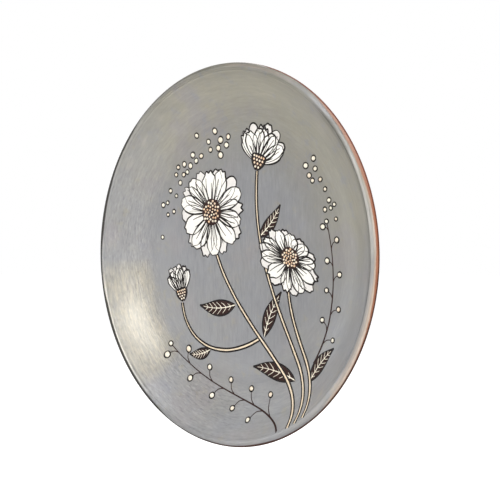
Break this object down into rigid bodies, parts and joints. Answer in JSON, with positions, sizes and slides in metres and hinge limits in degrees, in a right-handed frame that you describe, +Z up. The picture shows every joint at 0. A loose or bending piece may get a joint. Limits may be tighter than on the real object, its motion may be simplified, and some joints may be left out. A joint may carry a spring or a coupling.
{
  "type": "terracotta wall plate",
  "caption": "Round shallow terracotta dish to hang on a wall, with a full-round rim, a painted face and a drilled foot ring behind.",
  "frame": {"origin": "the top of the foot ring's flat back, where the hung plate touches the wall", "axes": "+Y along the plate's turning axis, from the face into the wall; +Z up; +X to the right seen from the front"},
  "size_m": [0.3, 0.0375, 0.3],
  "materials": {
    "painted_terracotta": "grey paint under satin lacquer on the face and rim, bare unglazed terracotta on the outside and back"
  },
  "bodies": {
    "root": {"plate": "painted_terracotta"}
  },
  "joints": []
}
